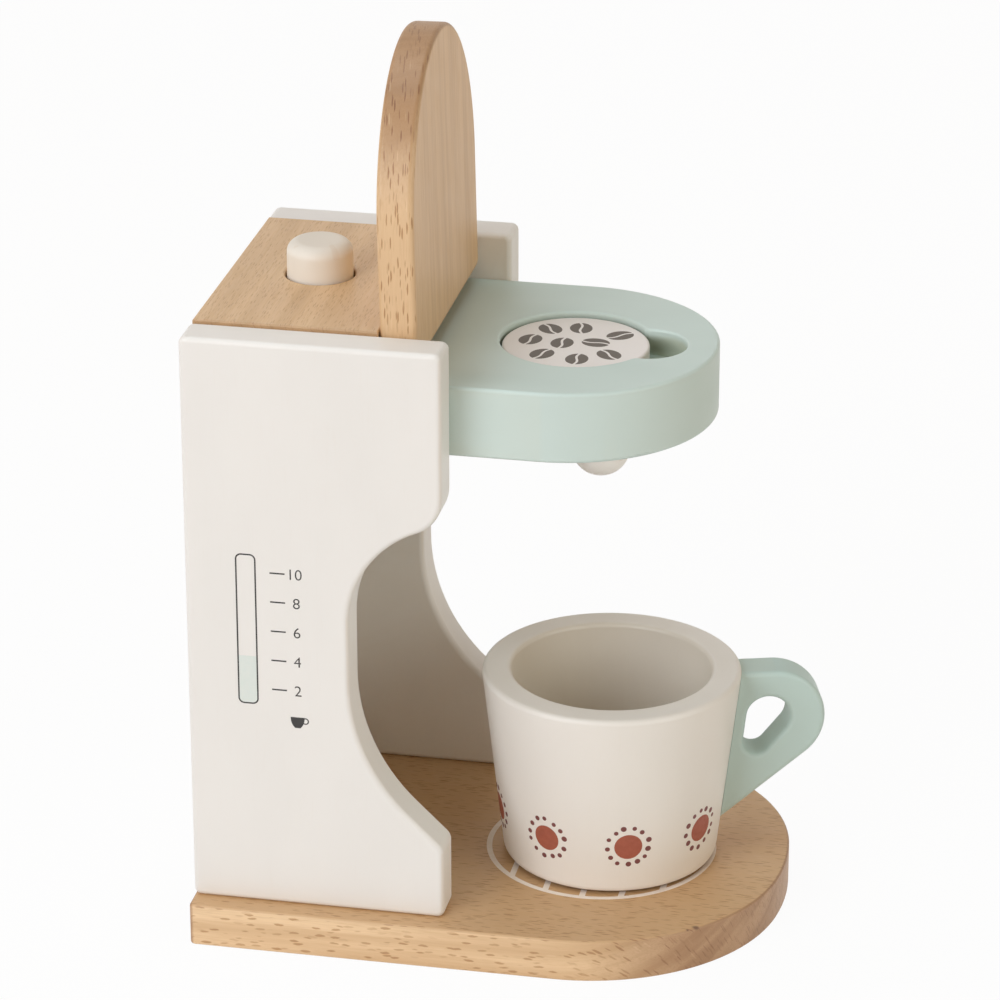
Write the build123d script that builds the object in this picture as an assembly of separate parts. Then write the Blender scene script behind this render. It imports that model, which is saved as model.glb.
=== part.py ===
from build123d import *
import os
from math import asin, atan2, cos, degrees, radians, sin, sqrt, tan

# A child's wooden coffee maker with a lift-out pod and a cup, in millimetres.
# +Z is up and -Y is the front, where the cup stands under the spout.
# The origin is the middle of the base board's underside.

# ---- driving dimensions -------------------------------------------------------------------

# Base board: straight sides and a bow front made of three tangent arcs.
base_width = 95.8
base_length = 127.7
base_thickness = 10.0
base_corner_centre = 2.9
base_front_arc = 64.0
base_rear_corner = 1.2

# Side panels: two boards that stand on the base, flush with its rear, with a bay cut into
# their front edges.
panel_thickness = 9.4
panel_side_margin = 4.9
panel_depth = 57.1
panel_height = 133.6
panel_corner = 1.6
bay_depth = 20.8
bay_top_drop = 6.5
bay_lobe_arc = 9.0
bay_lobe_turn = 68.0
bay_straight = 14.7
bay_lower_arc = 42.6
bay_lower_turn = 46.0
bay_lip_corner = 3.0

# Back panel, brew head and top block close the box between the side panels.
box_set_in = 0.8
back_thickness = 9.4
head_thickness = 16.0
head_set_down = 10.6
head_reach = 52.5
block_thickness = 11.2

# Lid: an arched board that turns on two pins between the side panels.
lid_thickness = 8.1
lid_straight = 26.0
lid_arch = 37.4
lid_side_gap = 1.0
lid_tip_inset = 0.45
lid_lean = 1.4
lid_droop = 1.0
lid_tip_gap = 0.25
lid_stop_gap = 0.15
pin_diameter = 4.0
pin_depth_in_lid = 12.0
pin_depth_in_panel = 5.0

# Coffee pod, in a round recess with a finger notch.
pod_diameter = 32.4
pod_thickness = 4.8
pod_set_back = 31.5
recess_depth = 6.0
recess_clearance = 0.5
notch_radius = 8.7
notch_offset = 15.9
notch_blend = 2.0

# Spout, a turned knob under the head.
spout_diameter = 13.0
spout_length = 15.4
spout_set_back = 25.7
spout_round = 6.3
spout_tenon_diameter = 8.0
spout_tenon_length = 8.0

# Brew button, a sprung plunger caught under the top block.
button_diameter = 14.6
button_rise = 7.8
button_set_back = 20.5
button_round = 2.8
button_hole_clearance = 0.45
button_travel = 3.5
flange_diameter = 18.4
flange_thickness = 3.0
flange_clearance = 0.5
flange_stop_gap = 0.1
spring_diameter = 9.4
spring_wire = 0.8
spring_turns = 6
spring_peg_diameter = 7.2
spring_peg_length = 3.5
spring_peg_floor_gap = 2.9

# Cup, a thick-walled tapered beaker with a flat board handle.
cup_top_diameter = 58.6
cup_foot_diameter = 48.2
cup_height = 45.5
cup_wall = 6.7
cup_floor = 7.5
cup_inner_taper = 3.5
cup_x = -1.2
cup_forward = 3.2
cup_foot_round = 2.5
cup_rim_round = 1.2
cup_floor_round = 4.0
handle_turn = 17.0
handle_thickness = 9.0
handle_top_drop = 1.5
handle_reach = 48.2
handle_arc = 11.5
handle_foot_height = 8.12
handle_cope_depth = 3.0
handle_outer_rim = 8.0
handle_inner_rim = 2.45
handle_hole_drop = 11.2
handle_hole_toe_radius = 3.1
handle_hole_toe_drop = 17.2

# Dowels and screws.
dowel_diameter = 6.0
dowel_depth_in_board = 14.0
dowel_depth_in_panel = 5.5
dowel_end_gap = 0.5
dowel_end = 9.0
back_dowel_shares = (0.2, 0.52, 0.84)
handle_dowel_diameter = 4.0
handle_dowel_in_cup = 4.5
handle_dowel_in_handle = 6.0
handle_dowel_drop = 3.0
handle_dowel_spacing = 24.0
screw_diameter = 3.0
screw_length = 32.0
screw_head_diameter = 6.6
screw_head_height = 2.2
screw_sink = 0.4
screw_tip = 4.0
screw_slot_width = 0.9
screw_slot_depth = 1.1
screw_edge_distance = 14.0

# Fits and edge rounding.
glue_line = 0.1
seat_gap = 0.02
running_clearance = 0.05
press_clearance = 0.02
screw_clearance = 0.3
edge_round = 1.2
head_edge_round = 0.8
fine_round = 0.6
crisp_round = 0.4

# ---- places that follow from them ---------------------------------------------------------

base_rear = base_length / 2
base_front = -base_length / 2
panel_rear = base_rear
panel_front = panel_rear - panel_depth
box_rear = panel_rear - box_set_in
panel_top = base_thickness + panel_height
panel_gap = base_width - 2 * (panel_side_margin + panel_thickness)
panel_inner_x = panel_gap / 2
panel_outer_x = panel_inner_x + panel_thickness

board_width = panel_gap - 2 * glue_line
head_top = panel_top - head_set_down
head_bottom = head_top - head_thickness
head_front = panel_front - head_reach
block_top = head_top + block_thickness

lid_length = lid_straight + lid_arch
lid_width = panel_gap - 2 * lid_side_gap
lid_lift = lid_tip_gap + (lid_length - edge_round) * sin(radians(lid_droop))
pivot_z = head_top + lid_lift + lid_thickness / 2
pivot_y = head_front + lid_length + lid_tip_inset
lean_shift = (block_top - pivot_z) * tan(radians(lid_lean))
block_front = pivot_y + lid_thickness / 2 + lean_shift + lid_stop_gap

pod_y = head_front + pod_set_back
spout_y = head_front + spout_set_back
button_y = block_front + button_set_back
notch_y = pod_y - notch_offset
spring_reach = spring_peg_length + button_travel + spring_peg_floor_gap
spring_pocket_depth = flange_stop_gap + flange_thickness + spring_reach

back_middle = box_rear - back_thickness / 2
panel_middle_x = panel_inner_x + panel_thickness / 2
dowel_length = dowel_depth_in_board + dowel_depth_in_panel - 2 * dowel_end_gap - glue_line
head_middle = head_top - head_thickness / 2
block_middle = head_top + block_thickness / 2
head_dowel_places = [(y, head_middle) for y in (panel_front + dowel_end, box_rear - dowel_end)]
block_dowel_places = [(y, block_middle) for y in (block_front + dowel_end, box_rear - dowel_end)]
back_dowel_span = head_bottom - base_thickness
back_dowel_places = [(back_middle, base_thickness + share * back_dowel_span) for share in back_dowel_shares]
screw_rows = (panel_front + screw_edge_distance, box_rear - back_thickness - screw_edge_distance)
screw_places = [(side * panel_middle_x, y) for side in (-1, 1) for y in screw_rows]
back_screw_places = [(side * panel_inner_x / 2, back_middle) for side in (-1, 1)]

cup_y = spout_y - cup_forward
cup_bottom = base_thickness + seat_gap
cup_slope = (cup_top_diameter - cup_foot_diameter) / 2 / cup_height
handle_plane = Plane(
    origin=(cup_x, cup_y, cup_bottom),
    x_dir=(sin(radians(handle_turn)), -cos(radians(handle_turn)), 0),
    z_dir=(-cos(radians(handle_turn)), -sin(radians(handle_turn)), 0),
)
handle_top = cup_height - handle_top_drop
upper_handle_dowel = handle_top - handle_dowel_drop
handle_dowel_heights = [upper_handle_dowel, upper_handle_dowel - handle_dowel_spacing]

low = (Align.CENTER, Align.CENTER, Align.MIN)
high = (Align.CENTER, Align.CENTER, Align.MAX)


# ---- helpers ------------------------------------------------------------------------------


def rounded(shape, edges, radius):
    """The shape with these edges rounded."""
    return fillet(edges, radius) if edges else shape


def rim_rounded(board, radius):
    """The board with the rims of its top and bottom faces rounded."""
    faces = board.faces().sort_by(Axis.Z)
    return rounded(board, faces[0].edges() + faces[-1].edges(), radius)


def rod_x(x_start, x_end, y, z, diameter):
    """A round rod along X."""
    length = abs(x_end - x_start)
    middle = (x_start + x_end) / 2
    return Pos(middle, y, z) * Rot(0, 90, 0) * Cylinder(diameter / 2, length)


def dowels(places):
    """Beech dowels across both joints between a board and the two side panels."""
    inner = panel_inner_x - glue_line - dowel_depth_in_board + dowel_end_gap
    outer = inner + dowel_length
    rods = []
    for y, z in places:
        for side in (-1, 1):
            rod = rod_x(side * inner, side * outer, y, z, dowel_diameter)
            rods.append(chamfer(rod.edges().filter_by(GeomType.CIRCLE), fine_round))
    return Compound(rods)


def dowel_holes(places):
    """The blind holes that those dowels fill, in the boards and the panels alike."""
    inner = panel_inner_x - glue_line - dowel_depth_in_board
    outer = panel_inner_x + dowel_depth_in_panel
    diameter = dowel_diameter + 2 * press_clearance
    return [rod_x(side * inner, side * outer, y, z, diameter) for y, z in places for side in (-1, 1)]


def screws(places):
    """Countersunk wood screws, driven up through the base."""
    bodies = []
    for x, y in places:
        head = Cone(screw_head_diameter / 2, screw_diameter / 2, screw_head_height, align=low)
        shank_length = screw_length - screw_tip
        shank = Cylinder(screw_diameter / 2, shank_length, align=low)
        tip = Pos(0, 0, shank_length) * Cone(screw_diameter / 2, 0.3, screw_tip, align=low)
        slot = Box(screw_head_diameter * 0.6, screw_slot_width, 2 * screw_slot_depth)
        cross = slot + Rot(0, 0, 90) * slot
        bodies.append(Pos(x, y, screw_sink) * (head + shank + tip - cross))
    return Compound(bodies)


def screw_holes(places):
    """Countersunk clearance holes in the base board."""
    spread = screw_diameter / 2 + screw_clearance
    head_spread = screw_head_diameter / 2 + screw_clearance
    holes = []
    for x, y in places:
        mouth = Cylinder(head_spread, screw_sink, align=low)
        sink = Pos(0, 0, screw_sink) * Cone(head_spread, spread, screw_head_height, align=low)
        bore = Cylinder(spread, base_thickness + 1, align=low)
        holes.append(Pos(x, y, 0) * (mouth + sink + bore))
    return holes


def pilot_holes(places):
    """Pilot holes in the foot of a board that stands on the base."""
    depth = screw_length + screw_sink - base_thickness + 1
    radius = screw_diameter / 2 + press_clearance
    return [Pos(x, y, base_thickness) * Cylinder(radius, depth, align=low) for x, y in places]


# ---- pieces -------------------------------------------------------------------------------


def base_board():
    """Bow-fronted base with countersunk screw holes underneath."""
    half = base_width / 2
    corner_arc = half - base_corner_centre
    centre_step = sqrt((base_front_arc - corner_arc) ** 2 - base_corner_centre**2)
    front_centre = base_front + base_front_arc
    corner_y = front_centre - centre_step
    meet = degrees(atan2(-centre_step, base_corner_centre))
    rear = Line((-half, base_rear), (half, base_rear))
    right = Line((half, base_rear), (half, corner_y))
    left = Line((-half, corner_y), (-half, base_rear))
    right_arc = CenterArc((base_corner_centre, corner_y), corner_arc, 0, meet)
    front_arc = CenterArc((0, front_centre), base_front_arc, meet, -180 - 2 * meet)
    left_arc = CenterArc((-base_corner_centre, corner_y), corner_arc, -180 - meet, meet)
    outline = make_face([rear, right, right_arc, front_arc, left_arc, left])
    board = extrude(outline, base_thickness)
    corners = board.edges().filter_by(Axis.Z).group_by(Axis.Y)[-1]
    board = rounded(board, corners, base_rear_corner)
    board = rim_rounded(board, fine_round)
    return board - screw_holes(screw_places + back_screw_places)


def panel_outline():
    """Side panel seen from the side: X of the sketch is the part's Y, Y of the sketch is Z."""
    lobe_start = head_bottom - bay_top_drop
    lobe = JernArc((panel_front, lobe_start), (0, -1), bay_lobe_arc, bay_lobe_turn)
    bay_rear = panel_front + bay_depth
    lobe_share = 1 - cos(radians(bay_lobe_turn))
    upper_arc = (bay_rear - (lobe @ 1).X) / lobe_share
    upper = JernArc(lobe @ 1, lobe % 1, upper_arc, -bay_lobe_turn)
    straight = Line(upper @ 1, upper @ 1 - (0, bay_straight))
    lower = JernArc(straight @ 1, (0, -1), bay_lower_arc, -bay_lower_turn)
    run = ((lower @ 1).X - panel_front) / sin(radians(bay_lower_turn))
    ramp = Line(lower @ 1, lower @ 1 + (lower % 1) * run)
    foot = Line(ramp @ 1, (panel_front, base_thickness))
    bottom = Line((panel_front, base_thickness), (panel_rear, base_thickness))
    rear = Line((panel_rear, base_thickness), (panel_rear, panel_top))
    top = Line((panel_rear, panel_top), (panel_front, panel_top))
    front = Line((panel_front, panel_top), (panel_front, lobe_start))
    face = make_face([lobe, upper, straight, lower, ramp, foot, bottom, rear, top, front])
    lip_height = (ramp @ 1).Y
    lip = [v for v in face.vertices() if abs(v.Y - lip_height) < 0.01]
    face = fillet(lip, bay_lip_corner)
    ends = (base_thickness, panel_top)
    corners = [v for v in face.vertices() if min(abs(v.Y - height) for height in ends) < 0.01]
    return fillet(corners, panel_corner)


def side_panel(side):
    """One side panel: side is -1 on the left and +1 on the right."""
    board = extrude(Plane.YZ * panel_outline(), panel_thickness)
    start_x = panel_inner_x if side > 0 else -panel_outer_x
    board = Pos(start_x, 0, 0) * board
    board = rounded(board, board.edges().filter_by(Axis.X, reverse=True), edge_round)
    board -= dowel_holes(head_dowel_places + block_dowel_places + back_dowel_places)
    pin_hole_end = side * (panel_inner_x + pin_depth_in_panel)
    board -= rod_x(0, pin_hole_end, pivot_y, pivot_z, pin_diameter + 2 * press_clearance)
    return board - pilot_holes([place for place in screw_places if place[0] * side > 0])


def back_panel():
    """Upright board that closes the rear, between the side panels and under the head."""
    height = head_bottom - base_thickness
    middle = base_thickness + height / 2
    board = Pos(0, back_middle, middle) * Box(board_width, back_thickness, height)
    board -= dowel_holes(back_dowel_places)
    return board - pilot_holes(back_screw_places)


def brew_head():
    """Round-nosed board that carries the pod, the spout and the button's spring."""
    half = board_width / 2
    nose = head_front + half
    sides = Pos(0, (nose + box_rear) / 2) * Rectangle(board_width, box_rear - nose)
    outline = sides + Pos(0, nose) * Circle(half)
    board = rim_rounded(Pos(0, 0, head_bottom) * extrude(outline, head_thickness), head_edge_round)
    recess_radius = pod_diameter / 2 + recess_clearance
    recess = Pos(0, pod_y) * Circle(recess_radius) + Pos(0, notch_y) * Circle(notch_radius)
    recess = extrude(recess, recess_depth)
    cusps = recess.edges().filter_by(Axis.Z).filter_by(lambda edge: abs(edge.center().X) > 1)
    recess = rounded(recess, cusps, notch_blend)
    board -= Pos(0, 0, head_top - recess_depth) * recess
    mouth = board.edges().filter_by(GeomType.CIRCLE).filter_by_position(Axis.Z, head_top, head_top)
    board = rounded(board, mouth.filter_by(lambda edge: edge.radius < recess_radius + 1), fine_round)
    pocket_radius = flange_diameter / 2 + flange_clearance
    board -= Pos(0, button_y, head_top) * Cylinder(pocket_radius, spring_pocket_depth, align=high)
    tenon_radius = spout_tenon_diameter / 2 + press_clearance
    board -= Pos(0, spout_y, head_bottom) * Cylinder(tenon_radius, spout_tenon_length + glue_line, align=low)
    return board - dowel_holes(head_dowel_places)


def top_block():
    """Beech block over the rear of the head, with the button's hole through it."""
    length = box_rear - block_front
    middle = (box_rear + block_front) / 2
    block = Pos(0, middle, head_top) * Box(board_width, length, block_thickness, align=low)
    block = rim_rounded(block, crisp_round)
    hole_radius = button_diameter / 2 + button_hole_clearance
    block -= Pos(0, button_y, head_top) * Cylinder(hole_radius, block_thickness, align=low)
    rim = block.edges().filter_by(GeomType.CIRCLE).filter_by_position(Axis.Z, block_top, block_top)
    block = rounded(block, rim, fine_round)
    return block - dowel_holes(block_dowel_places)


def spout():
    """Turned knob with a tenon glued into the head's underside."""
    knob = Cylinder(spout_diameter / 2, spout_length, align=high)
    knob = rounded(knob, knob.edges().group_by(Axis.Z)[0], spout_round)
    tenon = Cylinder(spout_tenon_diameter / 2, spout_tenon_length, align=low)
    return Pos(0, spout_y, head_bottom) * (knob + tenon)


def brew_button():
    """Plunger with a wide flange below the block and a peg that centres the spring."""
    flange_top = head_top - flange_stop_gap
    stem_height = block_top + button_rise - flange_top
    stem = Cylinder(button_diameter / 2, stem_height, align=low)
    stem = rounded(stem, stem.edges().group_by(Axis.Z)[-1], button_round)
    flange = Cylinder(flange_diameter / 2, flange_thickness, align=high)
    peg = Cylinder(spring_peg_diameter / 2, flange_thickness + spring_peg_length, align=high)
    peg = rounded(peg, peg.edges().group_by(Axis.Z)[0], fine_round)
    return Pos(0, button_y, flange_top) * (stem + flange + peg)


def button_spring():
    """Coil spring between the pocket's floor and the button's flange."""
    rise = spring_reach - 2 * seat_gap - spring_wire
    coil_radius = (spring_diameter - spring_wire) / 2
    path = Helix(pitch=rise / spring_turns, height=rise, radius=coil_radius)
    section = Plane(origin=path @ 0, z_dir=path % 0) * Circle(spring_wire / 2)
    coil = sweep(section, path=path, is_frenet=True)
    seat = head_top - spring_pocket_depth + seat_gap
    return Pos(0, button_y, seat + spring_wire / 2) * coil


def lid():
    """Arched board with a round heel on the hinge line, drawn upright and then leant back."""
    half = lid_width / 2
    foot = Line((-half, 0), (half, 0))
    right = Line((half, 0), (half, lid_straight))
    arch = EllipticalCenterArc((0, lid_straight), half, lid_arch, 0, arc_size=180)
    left = Line((-half, lid_straight), (-half, 0))
    outline = make_face([foot, right, arch, left])
    board = extrude(Plane.XZ * outline, lid_thickness / 2, both=True)
    board += rod_x(-half, half, 0, 0, lid_thickness)
    board = rounded(board, board.edges().filter_by(Axis.X, reverse=True), edge_round)
    bore_start = half - pin_depth_in_lid - running_clearance
    for side in (-1, 1):
        board -= rod_x(side * bore_start, side * half, 0, 0, pin_diameter + 2 * running_clearance)
    return Pos(0, pivot_y, pivot_z) * Rot(-lid_lean, 0, 0) * board


def lid_pin(side):
    """Steel hinge pin, fixed in a side panel and free in the lid."""
    inner = lid_width / 2 - pin_depth_in_lid
    outer = panel_inner_x + pin_depth_in_panel - seat_gap
    pin = rod_x(side * inner, side * outer, pivot_y, pivot_z, pin_diameter)
    return chamfer(pin.edges().filter_by(GeomType.CIRCLE), fine_round / 2)


def coffee_pod():
    """Loose disc that lies in the head's recess."""
    disc = Cylinder(pod_diameter / 2, pod_thickness, align=low)
    disc = rim_rounded(disc, fine_round)
    return Pos(0, pod_y, head_top - recess_depth + seat_gap) * disc


def cup_outside(margin):
    """The cup's outer cone, grown by a margin."""
    foot = cup_foot_diameter / 2 + margin
    top = cup_top_diameter / 2 + margin
    return Cone(foot, top, cup_height, align=low)


def cup_body():
    """Turned beaker with a thick wall, and two holes for the handle's dowels."""
    body = cup_outside(0)
    inner_top = cup_top_diameter / 2 - cup_wall
    inner = Cone(inner_top - cup_inner_taper, inner_top, cup_height - cup_floor, align=low)
    inner = rounded(inner, inner.edges().group_by(Axis.Z)[0], cup_floor_round)
    body = rounded(body, body.edges().group_by(Axis.Z)[0], cup_foot_round)
    body -= Pos(0, 0, cup_floor) * inner
    body = rounded(body, body.edges().group_by(Axis.Z)[-1], cup_rim_round)
    return Pos(cup_x, cup_y, cup_bottom) * body - handle_dowel_holes()


def cup_radius_at(height):
    """Outer radius of the cup at a height above its foot."""
    return cup_foot_diameter / 2 + cup_slope * height


def handle_outline():
    """Handle seen from its side: X runs out from the cup's axis, Y runs up from its foot.

    The outline starts inside the cup's wall, and the piece is coped to the cup later.
    """
    foot_radius = cup_radius_at(handle_foot_height)
    arc_reach = handle_reach - handle_arc
    arc_height = handle_top - handle_arc
    step_out = arc_reach - foot_radius
    step_up = arc_height - handle_foot_height
    tangent_turn = asin(handle_arc / sqrt(step_out**2 + step_up**2))
    foot_slope = atan2(step_up, step_out) - tangent_turn
    drop_angle = degrees(foot_slope) - 90
    arc = CenterArc((arc_reach, arc_height), handle_arc, drop_angle, 90 - drop_angle)
    start = foot_radius - handle_cope_depth
    foot = Vector(start, handle_foot_height - handle_cope_depth * tan(foot_slope))
    lower = Line(foot, arc @ 0)
    upper = Line(arc @ 1, (start, handle_top))
    inner = Line((start, handle_top), foot)
    return make_face([lower, arc, upper, inner])


def handle_hole():
    """Teardrop finger hole: the outline around a large circle and a small one below it.

    Both circles leave the same rim of wood beside the cup.
    """
    top_height = handle_top - handle_hole_drop
    toe_height = handle_top - handle_hole_toe_drop
    top_inner = cup_radius_at(top_height) + handle_inner_rim
    toe_inner = cup_radius_at(toe_height) + handle_inner_rim
    top_radius = (handle_reach - handle_outer_rim - top_inner) / 2
    top = Pos(top_inner + top_radius, top_height) * Circle(top_radius)
    toe = Pos(toe_inner + handle_hole_toe_radius, toe_height) * Circle(handle_hole_toe_radius)
    return make_hull(top.edges() + toe.edges())


def handle_dowel_rods(length_in_cup, length_in_handle, diameter):
    """Two rods that cross the joint between the cup and its handle."""
    rods = []
    for height in handle_dowel_heights:
        middle = cup_radius_at(height) + (length_in_handle - length_in_cup) / 2
        rod = Rot(0, 90, 0) * Cylinder(diameter / 2, length_in_cup + length_in_handle)
        rods.append(handle_plane.location * Pos(middle, height, 0) * rod)
    return rods


def handle_dowel_holes():
    """The blind holes for the handle's dowels, in the cup and the handle alike."""
    diameter = handle_dowel_diameter + 2 * press_clearance
    cup_depth = handle_dowel_in_cup + dowel_end_gap
    handle_depth = handle_dowel_in_handle + dowel_end_gap
    return handle_dowel_rods(cup_depth, handle_depth, diameter)


def cup_handle():
    """Flat board handle, coped to the cup's cone."""
    outline = handle_outline() - handle_hole()
    board = rim_rounded(extrude(outline, handle_thickness / 2, both=True), edge_round)
    board = handle_plane.location * board
    board -= Pos(cup_x, cup_y, cup_bottom) * cup_outside(glue_line)
    return board - handle_dowel_holes()


def handle_dowels():
    """Beech dowels between the cup and its handle."""
    return Compound(handle_dowel_rods(handle_dowel_in_cup, handle_dowel_in_handle, handle_dowel_diameter))


pieces = {
    "base_board": base_board(),
    "left_side_panel": side_panel(-1),
    "right_side_panel": side_panel(1),
    "back_panel": back_panel(),
    "top_block": top_block(),
    "brew_head": brew_head(),
    "head_dowels": dowels(head_dowel_places),
    "block_dowels": dowels(block_dowel_places),
    "back_panel_dowels": dowels(back_dowel_places),
    "side_panel_screws": screws(screw_places),
    "back_panel_screws": screws(back_screw_places),
    "spout": spout(),
    "brew_button": brew_button(),
    "button_spring": button_spring(),
    "lid": lid(),
    "lid_pin_left": lid_pin(-1),
    "lid_pin_right": lid_pin(1),
    "coffee_pod": coffee_pod(),
    "cup_body": cup_body(),
    "cup_handle": cup_handle(),
    "cup_handle_dowels": handle_dowels(),
}

os.makedirs("parts", exist_ok=True)
for name, shape in pieces.items():
    export_step(shape, f"parts/{name}.step")
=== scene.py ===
import math
import random

import bmesh
import bpy
from mathutils import Matrix, Vector


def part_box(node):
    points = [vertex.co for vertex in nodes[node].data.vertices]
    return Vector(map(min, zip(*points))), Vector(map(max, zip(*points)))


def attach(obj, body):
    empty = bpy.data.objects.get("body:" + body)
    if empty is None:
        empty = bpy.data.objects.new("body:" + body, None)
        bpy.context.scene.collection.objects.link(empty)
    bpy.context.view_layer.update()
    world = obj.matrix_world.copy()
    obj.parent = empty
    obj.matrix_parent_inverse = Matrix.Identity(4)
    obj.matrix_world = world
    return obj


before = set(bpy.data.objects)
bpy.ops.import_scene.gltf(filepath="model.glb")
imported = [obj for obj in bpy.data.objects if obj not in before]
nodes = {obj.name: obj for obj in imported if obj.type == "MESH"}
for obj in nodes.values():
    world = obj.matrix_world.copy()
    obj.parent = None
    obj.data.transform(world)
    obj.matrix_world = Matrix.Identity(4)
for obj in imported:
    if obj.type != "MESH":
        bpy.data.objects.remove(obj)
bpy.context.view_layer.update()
MM = 0.001


# ---- Base board ------------------------------------------------------------------------
# A 10 mm beech board with a bow front, sawn with its grain from front to back, its rims
# rounded over and the wood oiled. The boards above it are screwed on from below.


def shade(red, green, blue):
    """A colour that is given as display values from 0 to 255, as a shader takes it."""
    tones = [value / 255 for value in (red, green, blue)]
    tones = [t / 12.92 if t <= 0.04045 else ((t + 0.055) / 1.055) ** 2.4 for t in tones]
    return (*tones, 1.0)


def feed(tree, socket, value):
    """Sets a socket to a value, or links it to another socket."""
    if isinstance(value, bpy.types.NodeSocket):
        tree.links.new(value, socket)
    else:
        socket.default_value = value


def add_node(tree, kind, sockets, **settings):
    """A node with these settings, its sockets fed by name or by number."""
    node = tree.nodes.new(kind)
    for key, value in settings.items():
        setattr(node, key, value)
    for key, value in sockets.items():
        feed(tree, node.inputs[key], value)
    return node


def mixed(tree, share, first, second, how="MIX"):
    """One colour laid over another."""
    sockets = {0: share, 6: first, 7: second}
    node = add_node(tree, "ShaderNodeMix", sockets, data_type="RGBA", blend_type=how)
    return node.outputs[2]


def joined(tree, how, first, second=0.0):
    """A sum, product or the like of two values, or the size of one."""
    return add_node(tree, "ShaderNodeMath", {0: first, 1: second}, operation=how).outputs[0]


def ranged(tree, value, from_low, from_high, to_low=0.0, to_high=1.0):
    """A value moved softly from one range to another, and held inside it."""
    sockets = {"Value": value, "From Min": from_low, "From Max": from_high}
    sockets.update({"To Min": to_low, "To Max": to_high})
    return add_node(tree, "ShaderNodeMapRange", sockets, interpolation_type="SMOOTHSTEP").outputs[0]


def at_object(tree, what="Object"):
    """The place on the piece, or with Normal the way that its surface faces."""
    return add_node(tree, "ShaderNodeTexCoord", {}).outputs[what]


def cells(tree, place, size):
    """A place counted in cells that measure this much along X, Y and Z."""
    scale = [1 / side for side in size]
    return add_node(tree, "ShaderNodeMapping", {"Vector": place, "Scale": scale}).outputs[0]


def noise(tree, place, size, detail=2.0):
    """Soft random light and dark, in grains of this size."""
    sockets = {"Vector": cells(tree, place, size), "Scale": 1.0, "Detail": detail}
    return add_node(tree, "ShaderNodeTexNoise", sockets).outputs[0]


def new_finish(name):
    """A material, its nodes and its shader."""
    material = bpy.data.materials.new(name)
    material.use_nodes = True
    return material, material.node_tree, material.node_tree.nodes["Principled BSDF"]


def raised(tree, shader, height, distance, strength):
    """Relief that is this deep, for the light to catch."""
    sockets = {"Height": height, "Distance": distance, "Strength": strength}
    bump = add_node(tree, "ShaderNodeBump", sockets)
    tree.links.new(bump.outputs[0], shader.inputs["Normal"])


def vector_step(tree, how, *inputs, out=0):
    """A step with vectors: a difference, a product, a length or the like."""
    node = add_node(tree, "ShaderNodeVectorMath", dict(enumerate(inputs)), operation=how)
    return node.outputs[out]


def in_log(tree, grain, heart, piece):
    """Where a point lies in the log, round its heart, out from it and along it, and the way out.
    The way round starts at the middle of the piece, which keeps the rays square to the rings."""
    from_heart = vector_step(tree, "SUBTRACT", at_object(tree), heart)
    across = [0.0 if axis == grain else 1.0 for axis in "XYZ"]
    flat = vector_step(tree, "MULTIPLY", from_heart, across)
    outward = vector_step(tree, "NORMALIZE", flat)
    radius = vector_step(tree, "LENGTH", flat, out="Value")
    parts = add_node(tree, "ShaderNodeSeparateXYZ", {0: from_heart}).outputs
    first, second = [axis for axis in "XYZ" if axis != grain]
    low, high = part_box(piece)
    middle = dict(zip("XYZ", (low + high) / 2 - Vector(heart)))
    start = math.atan2(middle[second], middle[first])
    turn = joined(tree, "SUBTRACT", joined(tree, "ARCTAN2", parts[second], parts[first]), start)
    parts = {"X": joined(tree, "MULTIPLY", turn, radius), "Y": radius, "Z": parts[grain]}
    return add_node(tree, "ShaderNodeCombineXYZ", parts).outputs[0], outward


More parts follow.
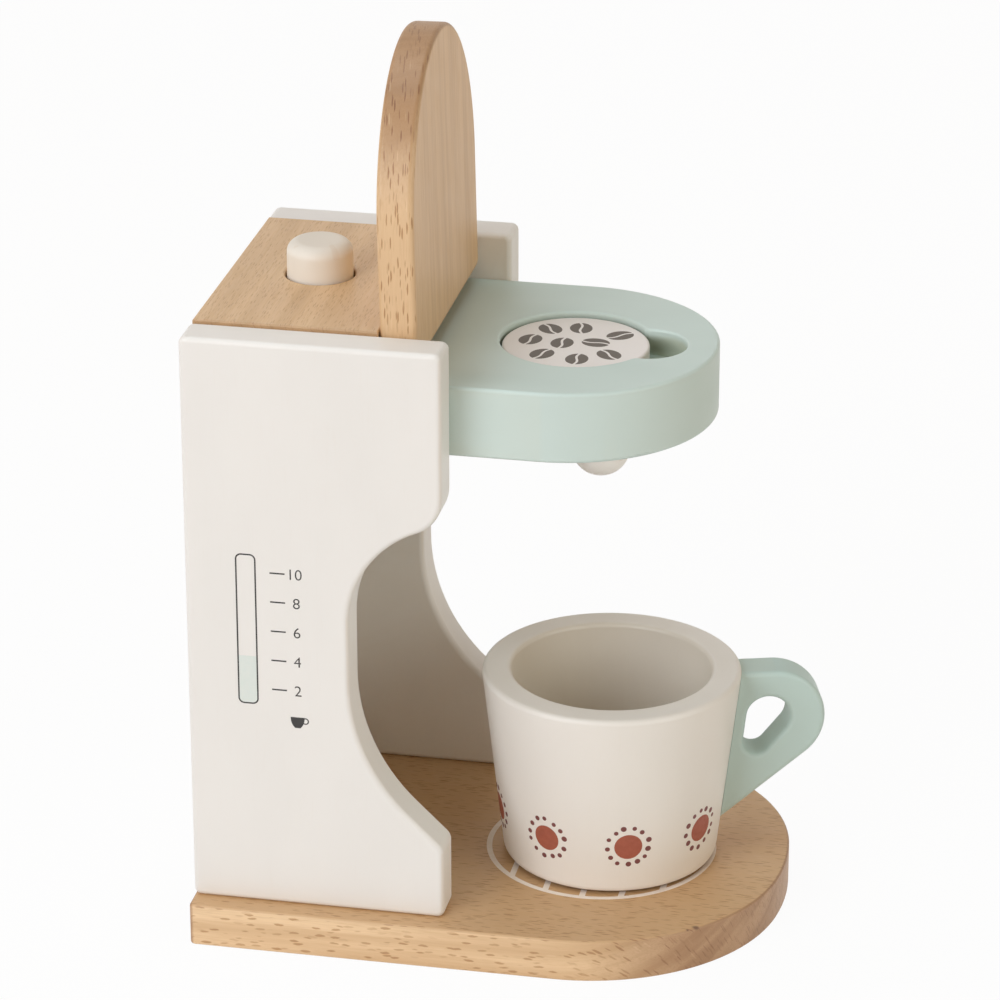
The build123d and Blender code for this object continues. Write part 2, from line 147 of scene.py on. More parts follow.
def beech(
    piece, grain, heart, light, dark, ray_size,
    ray_share=1.0, oil=(206, 196, 191), top_veins_and_shade=(0.0, 0.0),
):
    """Oiled beech for a node, from a log whose heart lies here. Its rays show as dark dashes on
    flat-sawn faces and on the end grain, which drank more of the oil."""
    # Each size is given round the log, out from its heart and along it.
    ring_size = (26 * MM, 2.2 * MM, 120 * MM)
    streak_size = (10 * MM, 5 * MM, 70 * MM)
    fibre_size = (0.3 * MM, 0.3 * MM, 7 * MM)
    vein_size = (0.7 * MM, 0.7 * MM, 28 * MM)
    ray_cell = (ray_size[0] * MM, 4.5 * MM, ray_size[1] * MM)
    sway_size = (2 * MM, 2 * MM, 2 * MM)
    ray_sway = 0.3 * MM
    ray_core = 0.25
    ray_rim = 0.40
    ray_stain = shade(200, 175, 146)
    ray_shine = shade(244, 216, 178)
    shine_share = 0.22
    end_ray_share = 0.7 * ray_share
    ring_share = 0.55
    streak_share = 0.45
    fibre_share = 0.45
    fibre_relief = -0.5
    relief_depth = 0.03 * MM
    tones = {"light": shade(*light), "dark": shade(*dark), "oil": shade(*oil)}

    material, tree, shader = new_finish(piece + "_beech")
    place, outward = in_log(tree, grain, heart, piece)
    facing = at_object(tree, "Normal")
    facing_parts = add_node(tree, "ShaderNodeSeparateXYZ", {0: facing}).outputs
    faces_outward = vector_step(tree, "DOT_PRODUCT", facing, outward, out="Value")
    flat_sawn = joined(tree, "ABSOLUTE", faces_outward)
    end_grain = ranged(tree, joined(tree, "ABSOLUTE", facing_parts[grain]), 0.08, 0.65)
    faces_up = ranged(tree, facing_parts["Z"], 0.2, 0.9)

    rings = noise(tree, place, ring_size, detail=3.0)
    streaks = noise(tree, place, streak_size)
    fibres = noise(tree, place, fibre_size, detail=3.0)
    # On faces that face up, veins of figure whose lowest value still darkens the whole face: partly
    # figure, partly painted shade.
    veins = ranged(tree, noise(tree, place, vein_size), 0.35, 0.7, *top_veins_and_shade)

    sockets = {"Vector": cells(tree, place, sway_size), "Scale": 1.0}
    sway = add_node(tree, "ShaderNodeTexNoise", sockets).outputs["Color"]
    swayed = vector_step(tree, "MULTIPLY_ADD", sway, [ray_sway] * 3, place)
    sockets = {"Vector": cells(tree, swayed, ray_cell), "Scale": 1.0}
    rays = add_node(tree, "ShaderNodeTexVoronoi", sockets).outputs
    draws = add_node(tree, "ShaderNodeSeparateColor", {"Color": rays["Color"]}).outputs
    dashes = ranged(tree, rays["Distance"], ray_core, ray_rim, 1.0, 0.0)
    flat_share = ranged(tree, flat_sawn, 0.2, 0.7, 0.0, ray_share)
    flat_dashes = joined(tree, "MULTIPLY", dashes, flat_share)
    end_share = ranged(tree, end_grain, 0.1, 1.0, 0.0, end_ray_share)
    end_dashes = joined(tree, "MULTIPLY", dashes, end_share)
    dark_rays = joined(tree, "MAXIMUM", flat_dashes, end_dashes)
    dark_rays = joined(tree, "MULTIPLY", dark_rays, ranged(tree, draws[0], 0.05, 0.8))
    shine_draw = ranged(tree, draws[1], 0.5, 0.9, 0.0, shine_share)
    light_rays = joined(tree, "MULTIPLY", flat_dashes, shine_draw)

    ring_growth = joined(tree, "MULTIPLY", rings, ring_share)
    streak_growth = joined(tree, "MULTIPLY", streaks, streak_share)
    growth = joined(tree, "ADD", ring_growth, streak_growth)
    growth = joined(tree, "ADD", growth, joined(tree, "MULTIPLY", faces_up, veins))
    colour = mixed(tree, ranged(tree, growth, 0.36, 0.68), tones["light"], tones["dark"])
    dark_fibres = ranged(tree, fibres, 0.42, 0.75, 0.0, fibre_share)
    colour = mixed(tree, dark_fibres, colour, tones["dark"])
    colour = mixed(tree, end_grain, colour, tones["oil"], how="MULTIPLY")
    colour = mixed(tree, light_rays, colour, ray_shine)
    colour = mixed(tree, dark_rays, colour, ray_stain, how="MULTIPLY")
    tree.links.new(colour, shader.inputs["Base Color"])

    feed(tree, shader.inputs["Roughness"], ranged(tree, fibres, 0.3, 0.75, 0.44, 0.62))
    shader.inputs["Specular IOR Level"].default_value = 0.7
    shader.inputs["Coat Weight"].default_value = 0.1
    shader.inputs["Coat Roughness"].default_value = 0.3
    fibre_height = joined(tree, "MULTIPLY", fibres, fibre_relief)
    raised(tree, shader, joined(tree, "SUBTRACT", fibre_height, dark_rays), relief_depth, 0.5)
    return material


def laid_on(material, mask, tone, how="MIX"):
    """Lays another tone over a finish, where the mask is white."""
    tree = material.node_tree
    colour = tree.nodes["Principled BSDF"].inputs["Base Color"]
    layered = mixed(tree, mask, colour.links[0].from_socket, shade(*tone), how)
    tree.links.new(layered, colour)


def spot_mask(tree, centre, size, core=0.3, share=0.9):
    """White in an ellipsoid, given in millimetres, and black a little outside it."""
    rim = 1.2
    away = vector_step(tree, "SUBTRACT", at_object(tree), [value * MM for value in centre])
    away = vector_step(tree, "DIVIDE", away, [value * MM for value in size])
    return ranged(tree, vector_step(tree, "LENGTH", away, out="Value"), core, rim, share, 0.0)


def top_mask(tree):
    """White where the surface faces up, and black on its sides."""
    up = add_node(tree, "ShaderNodeSeparateXYZ", {0: at_object(tree, "Normal")}).outputs["Z"]
    return ranged(tree, up, 0.2, 0.9)


def finish(node_name, material):
    """Gives a node of the frame its finish."""
    for place in nodes[node_name].material_slots:
        place.material = material


base_light = (242, 210, 168)
base_dark = (213, 176, 132)
base_heart = (0.05, 0.0, -0.10)
base_rays = (0.40, 3.6)
base_oil = (203, 188, 179)
# The tone multiplied into the board's top faces: painted shade that keeps the top darker than the
# sides.
base_top_painted_shade = (246, 242, 236)
knot_tone = (98, 58, 30)
# Two pin knots by the front rim: the middle of each, and how far it reaches, in millimetres.
knots = (
    ((-36.0, -48.7, 10.0), (0.7, 1.1, 0.7)),
    ((-37.5, -47.1, 10.0), (0.35, 0.5, 0.35)),
)
# The base's top takes veins that also darken it as a whole: figure and painted shade.
base_beech = beech(
    "base_board", "Y", base_heart, base_light, base_dark, base_rays,
    ray_share=0.8, oil=base_oil, top_veins_and_shade=(0.25, 1.05),
)
# Painted shade: the top faces are multiplied darker than the sides.
laid_on(base_beech, top_mask(base_beech.node_tree), base_top_painted_shade, "MULTIPLY")
for centre, size in knots:
    laid_on(base_beech, spot_mask(base_beech.node_tree, centre, size), knot_tone)
finish("base_board", base_beech)


# ---- Cup ring --------------------------------------------------------------------------
# A ring with five bars, like a drip grate, that shows where the cup stands. It is
# screen-printed in cream ink on the base board, a film so thin that the cup stands flat.

ring_centre = (-1.5 * MM, -21.35 * MM)
ring_radius = 25.65 * MM
ring_stroke = 1.25 * MM
bar_pitch = 8.6 * MM
bar_stroke = 1.35 * MM
ring_film = 0.015 * MM
bar_film = 0.8 * ring_film
base_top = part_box("base_board")[1].z


def cloud(tree, grain, across, along, detail=2.0):
    """Soft random light and dark on the piece, drawn out along the grain."""
    size = [along if axis == grain else across for axis in "XYZ"]
    return noise(tree, at_object(tree), size, detail)


def ink(name, colour, worn, roughness=0.55):
    """Screen-printed ink: a thin film with a faint mottle, and grains that didn't take."""
    mottle_size = 1.3 * MM
    grain_size = 0.16 * MM
    relief_depth = 0.01 * MM
    gloss_swing = 0.06
    material, tree, shader = new_finish(name)
    mottle = cloud(tree, "Z", mottle_size, mottle_size, detail=3.0)
    grains = cloud(tree, "Z", grain_size, grain_size)
    paint = mixed(tree, ranged(tree, mottle, 0.3, 0.7, 0.0, 0.35), shade(*colour), shade(*worn))
    paint = mixed(tree, ranged(tree, grains, 0.62, 0.78, 0.0, 0.6), paint, shade(*worn))
    tree.links.new(paint, shader.inputs["Base Color"])
    smooth, rough = roughness - gloss_swing, roughness + gloss_swing
    feed(tree, shader.inputs["Roughness"], ranged(tree, mottle, 0.3, 0.7, smooth, rough))
    raised(tree, shader, grains, relief_depth, 0.5)
    return material


def into_scene(name, shape, body, material):
    """Makes the finished bmesh a piece: its place is in its mesh, and it rides on a body."""
    bmesh.ops.recalc_face_normals(shape, faces=shape.faces)
    mesh = bpy.data.meshes.new(name)
    shape.to_mesh(mesh)
    shape.free()
    mesh.materials.append(material)
    piece = bpy.data.objects.new(name, mesh)
    bpy.context.scene.collection.objects.link(piece)
    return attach(piece, body)


def add_ring(shape, centre, radius, stroke, low, high, steps, sweep=math.tau, start=0.0):
    """A flat ring, or a stretch of one, spun from its cross-section."""
    heart = Vector((centre[0], centre[1], 0.0))
    first = Vector((math.cos(start), math.sin(start), 0.0))
    corners = [(radius - stroke / 2, low), (radius + stroke / 2, low)]
    corners += [(radius + stroke / 2, high), (radius - stroke / 2, high)]
    section = [shape.verts.new(heart + first * out + Vector((0, 0, up))) for out, up in corners]
    edges = [shape.edges.new((section[i - 1], section[i])) for i in range(4)]
    full = abs(sweep - math.tau) < 1e-6
    spun = bmesh.ops.spin(
        shape, geom=section + edges, cent=heart, axis=(0, 0, 1), angle=sweep, steps=steps,
        use_merge=full,
    )
    if not full:
        last = [item for item in spun["geom_last"] if isinstance(item, bmesh.types.BMEdge)]
        bmesh.ops.contextual_create(shape, geom=edges)
        bmesh.ops.contextual_create(shape, geom=last)


def add_block(shape, low, high):
    """A box between two corners."""
    size = [b - a for a, b in zip(low, high)]
    middle = [(a + b) / 2 for a, b in zip(low, high)]
    place = Matrix.Translation(middle) @ Matrix.Diagonal((*size, 1.0))
    bmesh.ops.create_cube(shape, size=1.0, matrix=place)


ring = bmesh.new()
ring_low = base_top - ring_film
ring_high = base_top + ring_film
add_ring(ring, ring_centre, ring_radius, ring_stroke, ring_low, ring_high, steps=120)
for index in range(-2, 3):
    bar_y = ring_centre[1] + index * bar_pitch
    bar_half = math.sqrt(ring_radius**2 - (index * bar_pitch) ** 2)
    near = (ring_centre[0] - bar_half, bar_y - bar_stroke / 2, ring_low)
    far = (ring_centre[0] + bar_half, bar_y + bar_stroke / 2, base_top + bar_film)
    add_block(ring, near, far)
ring_ink = ink("cream_ink", (248, 238, 228), (236, 220, 202))
cup_ring_print = into_scene("cup_ring_print", ring, "stand", ring_ink)


# ---- Side panels and back panel --------------------------------------------------------
# Three 9.4 mm boards, sanded, with rounded rims, and sprayed with satin cream paint. They
# are glued and dowelled to the head and the top block, and screwed to the base from below.


def painted(name, colour, grain, roughness=0.5, tint=(214, 190, 158)):
    """Satin paint over sanded wood. The fibres lift it a little, and it is thin on the rims."""
    # Each pair is a size across the grain and one along it.
    drift_size = (16 * MM, 40 * MM)
    fibre_size = (0.45 * MM, 9 * MM)
    mist_size = (0.3 * MM, 0.3 * MM)
    fibre_tint_share = 0.04
    rim_tint_share = 0.16
    relief_depth = 0.03 * MM
    material, tree, shader = new_finish(name)
    drift = cloud(tree, grain, *drift_size)
    fibres = cloud(tree, grain, *fibre_size, detail=3.0)
    mist = cloud(tree, grain, *mist_size)
    deep = tuple(0.99 * value for value in colour)
    paint = mixed(tree, ranged(tree, drift, 0.3, 0.7), shade(*colour), shade(*deep))
    lifted = ranged(tree, fibres, 0.55, 0.8, 0.0, fibre_tint_share)
    paint = mixed(tree, lifted, paint, shade(*tint))
    bend = add_node(tree, "ShaderNodeNewGeometry", {}).outputs["Pointiness"]
    thin = ranged(tree, bend, 0.52, 0.62, 0.0, rim_tint_share)
    paint = mixed(tree, thin, paint, shade(*tint))
    tree.links.new(paint, shader.inputs["Base Color"])
    smooth, rough = roughness - 0.05, roughness + 0.06
    feed(tree, shader.inputs["Roughness"], ranged(tree, drift, 0.3, 0.7, smooth, rough))
    shader.inputs["Specular IOR Level"].default_value = 0.7
    fibre_height = joined(tree, "MULTIPLY", fibres, 0.7)
    relief = joined(tree, "ADD", fibre_height, joined(tree, "MULTIPLY", mist, 0.3))
    raised(tree, shader, relief, relief_depth, 0.4)
    return material


cream_paint = painted("panel_cream_paint", (238, 236, 232), "Z", tint=(216, 200, 178))
for board in ("left_side_panel", "right_side_panel", "back_panel"):
    finish(board, cream_paint)


# ---- Water gauge -----------------------------------------------------------------------
# A screen-printed gauge on the left panel: a tube outlined in dark grey ink, its lower
# third filled in pale green, five marks with their numbers, and a small cup below them.

panel_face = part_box("left_side_panel")[0].x
gauge_ink = ink("gauge_ink", (50, 48, 47), (76, 73, 70), roughness=0.6)
gauge_green_ink = ink("gauge_green_ink", (221, 230, 225), (230, 233, 227), roughness=0.6)
gauge_film = 0.02 * MM
water_film = 0.8 * gauge_film
gauge_stroke = 0.34 * MM
tube_middle = -50.15 * MM
tube_width = 4.6 * MM
tube_low = 58.75 * MM
tube_high = 94.6 * MM
tube_corner = 1.35 * MM
water_high = 70.3 * MM
mark_start = -44.8 * MM
mark_end = -41.45 * MM
mark_heights = {"2": 62.7 * MM, "4": 69.7 * MM, "6": 76.7 * MM, "8": 83.65 * MM, "10": 90.5 * MM}
number_height = 2.45 * MM
number_middle = -38.95 * MM
number_pair_shift = -0.35 * MM
number_thinning = -0.006
icon_middle = -39.17 * MM
icon_high = 56.4 * MM
icon_depth = 2.6 * MM
icon_half_width = 1.56 * MM
icon_taper = 0.62
icon_bulge = 2.6
icon_handle = (-37.43 * MM, 55.55 * MM)
icon_handle_radius = 0.66 * MM
icon_handle_stroke = 0.27 * MM
icon_handle_sweep = math.radians(250)
icon_handle_start = math.radians(-125)

# Flat work for the panel is drawn to the right and up, and then turned to face left.
on_panel = Matrix(((0, 0, -1, panel_face), (-1, 0, 0, 0), (0, 1, 0, 0), (0, 0, 0, 1)))


def thicken(shape, depth):
    """Turns flat faces into a film, half of it sunk in what it lies on."""
    bmesh.ops.translate(shape, verts=shape.verts[:], vec=(0, 0, -depth))
    grown = bmesh.ops.extrude_face_region(shape, geom=shape.faces[:])
    verts = [item for item in grown["geom"] if isinstance(item, bmesh.types.BMVert)]
    bmesh.ops.translate(shape, verts=verts, vec=(0, 0, 2 * depth))


def rounded_strip(low, high, radius, rounded_corners):
    """A flat rectangle, some of its corners rounded. They are counted from its lower left."""
    strip = bmesh.new()
    middle = [(a + b) / 2 for a, b in zip(low, high)]
    size = [b - a for a, b in zip(low, high)]
    place = Matrix.Translation((*middle, 0.0)) @ Matrix.Diagonal((*size, 1.0, 1.0))
    bmesh.ops.create_grid(strip, x_segments=1, y_segments=1, size=0.5, matrix=place)
    corners = sorted(strip.verts, key=lambda vert: (round(vert.co.y, 7), vert.co.x))
    bmesh.ops.bevel(
        strip, geom=[corners[i] for i in rounded_corners], offset=radius, affect="VERTICES",
        segments=8, profile=0.5, material=-1,
    )
    return strip


left_edge = tube_middle - tube_width / 2
right_edge = tube_middle + tube_width / 2
tube = rounded_strip((left_edge, tube_low), (right_edge, tube_high), tube_corner, (0, 1, 2, 3))
tube_face = tube.faces[:]
bmesh.ops.inset_region(
    tube, faces=tube_face, thickness=gauge_stroke, use_boundary=True, use_even_offset=True
)
bmesh.ops.delete(tube, geom=tube_face, context="FACES_ONLY")
thicken(tube, gauge_film)
for height in mark_heights.values():
    low = (mark_start, height - gauge_stroke / 2, -gauge_film)
    high = (mark_end, height + gauge_stroke / 2, gauge_film)
    add_block(tube, low, high)
tube.transform(on_panel)
into_scene("gauge_tube_print", tube, "stand", gauge_ink)

inner_low = (left_edge + gauge_stroke, tube_low + gauge_stroke)
inner_high = (right_edge - gauge_stroke, water_high)
water = rounded_strip(inner_low, inner_high, tube_corner - gauge_stroke, (0, 1))
thicken(water, water_film)
water.transform(on_panel)
into_scene("gauge_water_print", water, "stand", gauge_green_ink)

numbers = bmesh.new()
for text, height in mark_heights.items():
    lettering = bpy.data.curves.new("gauge_number", "FONT")
    lettering.body = text
    lettering.align_x = "CENTER"
    lettering.offset = number_thinning
    number = bpy.data.objects.new("gauge_number", lettering)
    digits = bpy.data.meshes.new_from_object(number)
    rise = max(vert.co.y for vert in digits.vertices)
    size = number_height / rise
    across = number_middle + number_pair_shift * (len(text) - 1)
    place = Matrix.Translation((across, height - number_height / 2, 0)) @ Matrix.Scale(size, 4)
    digits.transform(place)
    numbers.from_mesh(digits)
    bpy.data.objects.remove(number)
    bpy.data.meshes.remove(digits)
bmesh.ops.remove_doubles(numbers, verts=numbers.verts, dist=1e-7)
thicken(numbers, gauge_film)
numbers.transform(on_panel)
into_scene("gauge_numbers_print", numbers, "stand", gauge_ink)

icon = bmesh.new()
bmesh.ops.create_grid(icon, x_segments=10, y_segments=12, size=1.0)
for vert in icon.verts:
    drop = (1 - vert.co.y) / 2
    width = icon_half_width * (1 - icon_taper * drop**icon_bulge)
    vert.co = (icon_middle + vert.co.x * width, icon_high - drop * icon_depth, 0)
thicken(icon, gauge_film)
add_ring(
    icon, icon_handle, icon_handle_radius, icon_handle_stroke, -gauge_film, 0.9 * gauge_film,
    steps=24, sweep=icon_handle_sweep, start=icon_handle_start,
)
icon.transform(on_panel)
into_scene("gauge_cup_print", icon, "stand", gauge_ink)


# ---- Screws ----------------------------------------------------------------------------
# Zinc-plated countersunk wood screws with a cross slot, driven up through the base board
# into the side panels and the back panel.


def bright_steel(name, colour, roughness, metal_grain):
    """Plated steel wire or rod, with fine draw marks along it and a dull bloom in places."""
    mark_size = (0.12 * MM, 4 * MM)
    bloom_size = (2.5 * MM, 4 * MM)
    mark_depth = 0.01 * MM
    material, tree, shader = new_finish(name)
    shader.inputs["Metallic"].default_value = 1.0
    marks = cloud(tree, metal_grain, *mark_size, detail=3.0)
    bloom = cloud(tree, metal_grain, *bloom_size)
    dull = tuple(0.86 * value for value in colour)
    metal = mixed(tree, ranged(tree, bloom, 0.35, 0.7), shade(*colour), shade(*dull))
    tree.links.new(metal, shader.inputs["Base Color"])
    smooth, rough = roughness - 0.06, roughness + 0.1
    feed(tree, shader.inputs["Roughness"], ranged(tree, bloom, 0.3, 0.7, smooth, rough))
    raised(tree, shader, marks, mark_depth, 0.5)
    return material


screw_zinc = bright_steel("screw_zinc", (198, 196, 186), 0.34, "Z")
finish("side_panel_screws", screw_zinc)
finish("back_panel_screws", screw_zinc)


# ---- Dowels ----------------------------------------------------------------------------
# Plain beech dowels with bevelled ends, glued across the joints of the carcass and between
# the cup and its handle. They are hidden once the toy is put together.

dowel_heart = (0.0, -0.03, -0.09)
dowel_light = (226, 192, 150)
dowel_dark = (204, 166, 122)
dowel_rays = (0.5, 3.6)
dowel_beech = beech("block_dowels", "X", dowel_heart, dowel_light, dowel_dark, dowel_rays)
for joint in ("head_dowels", "block_dowels", "back_panel_dowels", "cup_handle_dowels"):
    finish(joint, dowel_beech)


# ---- Brew head and spout ---------------------------------------------------------------
# The head is a 16 mm beech board with a round nose, sprayed sage green, with a milled
# recess for the pod. The spout is a turned cream knob glued into its underside.

head_paint = painted("head_sage_paint", (203, 220, 215), "Y", tint=(214, 214, 196))
head_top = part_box("brew_head")[1].z / MM
# Painted shade low in the pod's recess and low in the finger notch, darker than the paint
# elsewhere: the middle of each, how far it reaches, both in millimetres, and its tone.
head_hollow_painted_shade = (
    ((0.0, -14.25, head_top - 3.6), (21.5, 21.5, 3.3), (196, 197, 190)),
    ((0.0, -33.5, head_top - 4.2), (11.5, 8.5, 3.6), (232, 227, 214)),
)
for centre, size, tone in head_hollow_painted_shade:
    mask = spot_mask(head_paint.node_tree, centre, size, core=0.85, share=1.0)
    laid_on(head_paint, mask, tone, "MULTIPLY")
finish("brew_head", head_paint)
finish("spout", painted("spout_cream_paint", (247, 244, 238), "Z"))


# ---- Top block -------------------------------------------------------------------------
# An 11 mm oiled beech block over the rear of the head, glued and dowelled between the side
# panels, its grain from side to side. The brew button comes up through it.

block_light = (219, 185, 143)
block_dark = (200, 165, 122)
block_heart = (0.0, -0.02, 0.02)
block_rays = (0.28, 3.0)
block_oil = (224, 216, 208)
block_beech = beech(
    "top_block", "X", block_heart, block_light, block_dark, block_rays,
    ray_share=0.55, oil=block_oil,
)
finish("top_block", block_beech)


# ---- Brew button and spring ------------------------------------------------------------
# A turned plunger in warm grey paint, caught under the block by its flange, and the coil
# spring of bright steel wire that lifts it again.

button_top_painted_shade = (242, 240, 238)
button_paint = painted("button_grey_paint", (240, 236, 226), "Z", roughness=0.62)
# Painted shade: the button's top is multiplied a little darker than its sides.
laid_on(button_paint, top_mask(button_paint.node_tree), button_top_painted_shade, "MULTIPLY")
finish("brew_button", button_paint)
finish("button_spring", bright_steel("spring_steel", (190, 190, 188), 0.24, "Z"))


# ---- Lid and its pins ------------------------------------------------------------------
# An arched 8 mm board of oiled beech, its grain running up, that turns on two steel pins
# set in the side panels.

lid_light = (223, 188, 145)
lid_dark = (207, 170, 125)
lid_heart = (-0.12, 0.0, 0.0)
lid_rays = (0.5, 4.2)
lid_oil = (196, 179, 161)
lid_beech = beech("lid", "Z", lid_heart, lid_light, lid_dark, lid_rays, oil=lid_oil)
finish("lid", lid_beech)
pin_steel = bright_steel("pin_steel", (202, 200, 196), 0.28, "X")
finish("lid_pin_left", pin_steel)
finish("lid_pin_right", pin_steel)


# ---- Coffee pod ------------------------------------------------------------------------
# A loose beech disc in pale cream paint, screen-printed on top with nine coffee beans in
# dark grey-brown ink.

bean_length = 6.3 * MM
bean_width = 5.0 * MM
bean_gap = 0.58 * MM
bean_bend = 0.34 * MM
bean_tip = 0.985
bean_film = 0.02 * MM
# Each bean: how many millimetres it lies to the front and to the right of the pod's middle, by
# how many degrees its length turns from the right to the front, and which way its slit bends.
beans = (
    ((-7.1, 7.7), -36, 1), ((-0.5, 9.4), -13, 1), ((8.7, 6.6), 52, -1),
    ((-10.2, 0.5), 14, -1), ((-3.0, -0.3), 4, -1), ((4.2, 1.3), -80, -1),
    ((-6.1, -7.6), 24, -1), ((1.9, -9.2), 2, -1), ((8.3, -5.3), -42, 1),
)

pod_low, pod_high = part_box("coffee_pod")
pod_middle = (pod_low + pod_high) / 2


def add_half_bean(shape, side, bend):
    """One half of a bean, from its slit to its rim, drawn along Y with its middle at zero."""
    half = bmesh.new()
    bmesh.ops.create_grid(half, x_segments=3, y_segments=22, size=1.0)
    for vert in half.verts:
        out = (vert.co.x + 1) / 2
        turn = vert.co.y * math.asin(bean_tip)
        along = bean_length / 2 * math.sin(turn)
        rim = bean_width / 2 * math.cos(turn)
        slit = bend * bean_bend * math.sin(math.pi * math.sin(turn)) + side * bean_gap / 2
        vert.co = (slit + (side * rim - slit) * out, along, 0)
    mesh = bpy.data.meshes.new("half_bean")
    half.to_mesh(mesh)
    half.free()
    shape.from_mesh(mesh)
    bpy.data.meshes.remove(mesh)


# The bean's drawing plane has its length along the part's X, seen from above.
seen_from_above = Matrix(((0, 1, 0, 0), (-1, 0, 0, 0), (0, 0, 1, 0), (0, 0, 0, 1)))
crop = bmesh.new()
for (forward, right), turn, bend in beans:
    bean = bmesh.new()
    for side in (-1, 1):
        add_half_bean(bean, side, bend)
    thicken(bean, bean_film)
    centre = (pod_middle.x + right * MM, pod_middle.y - forward * MM, pod_high.z)
    turned = Matrix.Rotation(math.radians(-turn), 4, "Z")
    bean.transform(Matrix.Translation(centre) @ turned @ seen_from_above)
    mesh = bpy.data.meshes.new("bean")
    bean.to_mesh(mesh)
    bean.free()
    crop.from_mesh(mesh)
    bpy.data.meshes.remove(mesh)
bean_ink = ink("bean_ink", (95, 86, 77), (118, 108, 98), roughness=0.6)
into_scene("pod_beans_print", crop, "pod", bean_ink)
finish("coffee_pod", painted("pod_cream_paint", (239, 234, 231), "X", roughness=0.48))


# ---- Cup -------------------------------------------------------------------------------
# A turned beaker with a thick wall, in warm white paint, and a flat board handle in sage
# paint. A row of red-brown suns is stamped round it by hand, each a dot ringed by dots.

cup_low, cup_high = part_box("cup_body")
cup_middle = (cup_low + cup_high) / 2
cup_foot_radius = 24.1 * MM
cup_rim_radius = 29.3 * MM
cup_height = 45.5 * MM
cup_spread = (cup_rim_radius - cup_foot_radius) / cup_height
sun_height = 12.7 * MM
sun_turns = (27.5, 71.0, 114.0, 157.5, 204.0, 250.5, 297.0)
sun_radius = 3.2 * MM
ray_count = 13
ray_reach = 4.75 * MM
ray_radius = 0.6 * MM
sun_film = 0.03 * MM
# How much the hand that stamps varies a sun's size, a ray's place and reach, and a ray's size.
sun_scatter = (0.97, 1.03)
turn_scatter = (-0.12, 0.12)
reach_scatter = (0.96, 1.05)
ray_scatter = (0.85, 1.15)
hand = random.Random(5)
cup_inside_painted_shade = (242, 239, 233)
# A dark brown band round the cup's foot: painted shadow where the cup meets the board.
foot_shadow_height = 1.0 * MM
foot_shadow_edge = 0.3 * MM
foot_painted_shadow_tone = (112, 76, 46)


def add_disc(shape, centre, radius, segments, rings):
    """A flat disc, with rings of edges so that it can bend."""
    place = Matrix.Translation((*centre, 0.0))
    made = bmesh.ops.create_circle(
        shape, cap_ends=True, segments=segments, radius=radius, matrix=place
    )
    face = made["verts"][0].link_faces[0]
    step = radius / (rings + 1)
    for _ in range(rings):
        bmesh.ops.inset_region(
            shape, faces=[face], thickness=step, use_boundary=True, use_even_offset=True
        )


def round_cup(shape, sun_turn, gathered):
    """Wraps flat work round the cup, with its middle at this turn, and adds it to a bmesh."""
    thicken(shape, sun_film)
    for vert in shape.verts:
        height = sun_height + vert.co.y
        radius = cup_foot_radius + cup_spread * height
        turn = math.radians(sun_turn) - vert.co.x / radius
        around = Vector((-math.sin(turn), -math.cos(turn), 0.0))
        out = radius + vert.co.z
        vert.co = Vector((cup_middle.x, cup_middle.y, cup_low.z + height)) + around * out
    mesh = bpy.data.meshes.new("stamp")
    shape.to_mesh(mesh)
    shape.free()
    gathered.from_mesh(mesh)
    bpy.data.meshes.remove(mesh)


suns = bmesh.new()
sun_rays = bmesh.new()
for sun_turn in sun_turns:
    sun = bmesh.new()
    add_disc(sun, (0, 0), sun_radius * hand.uniform(*sun_scatter), 32, rings=3)
    round_cup(sun, sun_turn, suns)
    dots = bmesh.new()
    first_ray = hand.uniform(0, math.tau)
    for index in range(ray_count):
        turn = first_ray + math.tau * (index + hand.uniform(*turn_scatter)) / ray_count
        reach = ray_reach * hand.uniform(*reach_scatter)
        centre = (reach * math.cos(turn), reach * math.sin(turn))
        add_disc(dots, centre, ray_radius * hand.uniform(*ray_scatter), 12, rings=0)
    round_cup(dots, sun_turn, sun_rays)
sun_ink = ink("sun_ink", (168, 92, 72), (146, 78, 62), roughness=0.5)
into_scene("cup_suns_print", suns, "cup", sun_ink)
ray_ink = ink("ray_ink", (126, 72, 70), (98, 60, 58), roughness=0.5)
into_scene("cup_rays_print", sun_rays, "cup", ray_ink)

cup_paint = painted("cup_white_paint", (239, 235, 228), "Z", roughness=0.46)
tree = cup_paint.node_tree
from_axis = vector_step(tree, "SUBTRACT", at_object(tree), cup_middle)
from_axis = vector_step(tree, "MULTIPLY", from_axis, (1.0, 1.0, 0.0))
from_axis = vector_step(tree, "NORMALIZE", from_axis)
faces_out = vector_step(tree, "DOT_PRODUCT", at_object(tree, "Normal"), from_axis, out="Value")
# Painted shade: the faces inside the cup are multiplied a little darker than its outside.
laid_on(cup_paint, ranged(tree, faces_out, -0.8, -0.2, 1.0, 0.0), cup_inside_painted_shade, "MULTIPLY")
# Painted shadow: the lowest millimetre of the cup turns dark brown, where it meets the board.
height = add_node(tree, "ShaderNodeSeparateXYZ", {0: at_object(tree)}).outputs["Z"]
foot_end = cup_low.z + foot_shadow_height
foot_painted_shadow = ranged(tree, height, foot_end - foot_shadow_edge, foot_end, 1.0, 0.0)
laid_on(cup_paint, foot_painted_shadow, foot_painted_shadow_tone)
finish("cup_body", cup_paint)
finish("cup_handle", painted("handle_sage_paint", (191, 212, 206), "Z", tint=(206, 208, 192)))


# ---- Floor, light and camera -----------------------------------------------------------
# A pale floor that shows white and still takes the object's shadow, a room with warm walls,
# and large soft lamps on every side, the strongest of them to the left.

floor_half = 3.0
camera_place = (-0.88288, -0.17434, 0.4774)
camera_back = Vector((-0.9019, -0.1808, 0.3925)).normalized()
camera_lens = 158.196
lamp_target = Vector((0.0, 0.0, 0.09))
lamp_distance = 1.6
lamp_size = 1.1
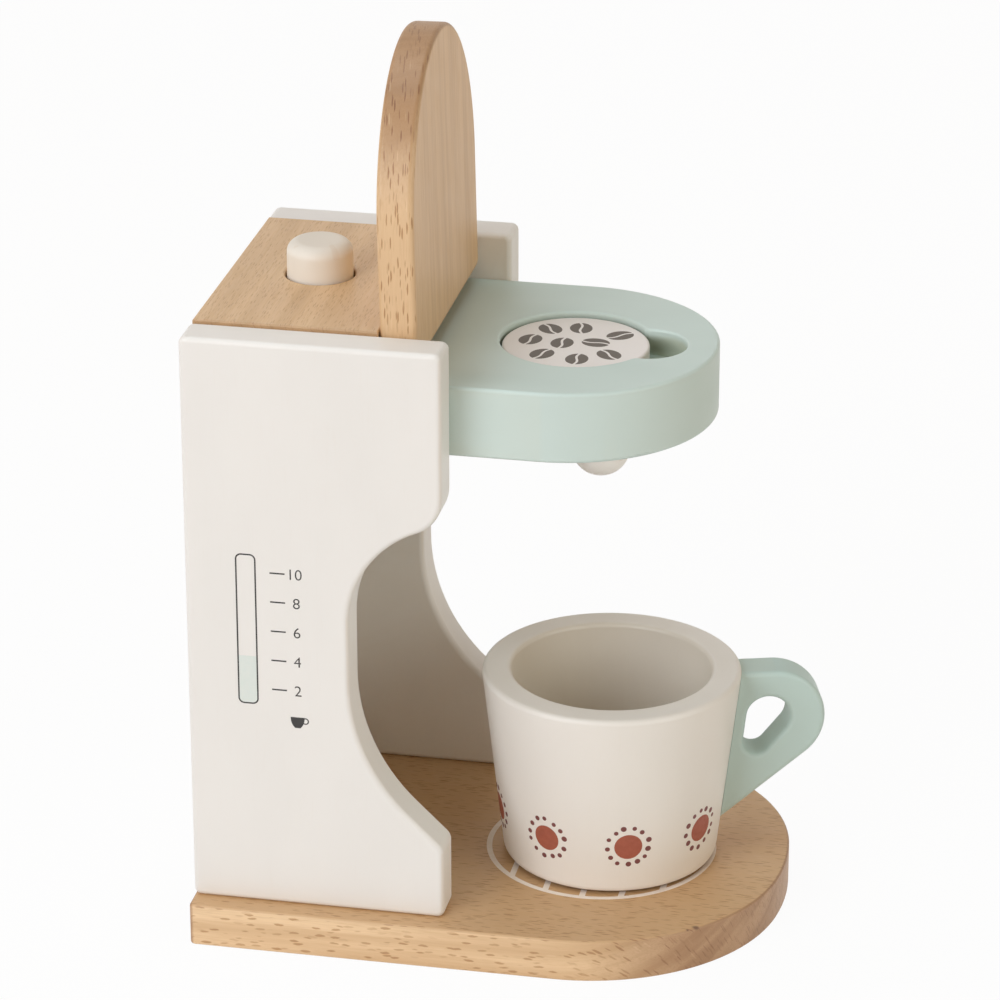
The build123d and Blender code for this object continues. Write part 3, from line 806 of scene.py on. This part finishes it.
# Each lamp: its direction from the object, its power in watts and its colour.
lamps = {
    "left_lamp": ((-0.80, 0.46, 0.40), 14.7, (0.87, 0.93, 1.0)),
    "rear_lamp": ((0.10, 0.55, 0.83), 3.9, (1.0, 0.90, 0.90)),
    "front_lamp": ((-0.40, -0.85, 0.35), 6.3, (0.94, 1.0, 0.95)),
    "right_lamp": ((1.0, 0.10, 0.05), 5.8, (0.86, 0.93, 1.0)),
    "top_lamp": ((0.0, 0.10, 1.0), 6.8, (0.55, 0.84, 1.0)),
}
room_light = 0.26
room_colour = (1.0, 0.56, 0.22, 1.0)
white = (1.0, 1.0, 1.0, 1.0)
paper_colour = (0.86, 0.86, 0.86, 1.0)
paper_roughness = 0.9
paper_lift = 0.95


def seen_share(tree):
    """1 for rays from the camera, a gloss or something clear, which see the surroundings white."""
    rays = add_node(tree, "ShaderNodeLightPath", {}).outputs
    seen = joined(tree, "MAXIMUM", rays["Is Camera Ray"], rays["Is Glossy Ray"])
    return joined(tree, "MAXIMUM", seen, rays["Is Transmission Ray"])


floor = bmesh.new()
bmesh.ops.create_grid(floor, x_segments=1, y_segments=1, size=floor_half)
mesh = bpy.data.meshes.new("floor")
floor.to_mesh(mesh)
floor.free()
floor_piece = bpy.data.objects.new("floor", mesh)
bpy.context.scene.collection.objects.link(floor_piece)

floor_material, tree, shader = new_finish("floor_paper")
shader.inputs["Base Color"].default_value = paper_colour
shader.inputs["Roughness"].default_value = paper_roughness
glow = add_node(tree, "ShaderNodeEmission", {"Color": white, "Strength": 1.0}).outputs[0]
lift = joined(tree, "MULTIPLY", seen_share(tree), paper_lift)
sockets = {0: lift, 1: shader.outputs[0], 2: glow}
paper = add_node(tree, "ShaderNodeMixShader", sockets).outputs[0]
tree.links.new(paper, tree.nodes["Material Output"].inputs["Surface"])
mesh.materials.append(floor_material)

room = bpy.data.worlds.new("room")
room.use_nodes = True
bpy.context.scene.world = room
tree = room.node_tree
walls = tree.nodes["Background"].inputs
seen = seen_share(tree)
tree.links.new(ranged(tree, seen, 0.0, 1.0, room_light, 1.0), walls["Strength"])
tree.links.new(mixed(tree, seen, room_colour, white), walls["Color"])

for lamp_name, (direction, power, colour) in lamps.items():
    lamp_data = bpy.data.lights.new(lamp_name, "AREA")
    lamp_data.shape = "DISK"
    lamp_data.size = lamp_size
    lamp_data.energy = power
    lamp_data.color = colour
    lamp = bpy.data.objects.new(lamp_name, lamp_data)
    lamp_from = Vector(direction).normalized()
    lamp.location = lamp_target + lamp_from * lamp_distance
    lamp.rotation_euler = lamp_from.to_track_quat("Z", "Y").to_euler()
    bpy.context.scene.collection.objects.link(lamp)
# The right lamp only fills the shaded side: it leaves no gloss.
bpy.data.objects["right_lamp"].visible_glossy = False

camera_data = bpy.data.cameras.new("camera")
camera_data.lens = camera_lens
camera_data.sensor_width = 36.0
camera = bpy.data.objects.new("camera", camera_data)
camera.location = camera_place
camera.rotation_euler = camera_back.to_track_quat("Z", "Y").to_euler()
bpy.context.scene.collection.objects.link(camera)
bpy.context.scene.camera = camera
bpy.context.scene.view_settings.view_transform = "Standard"

bpy.context.view_layer.update()
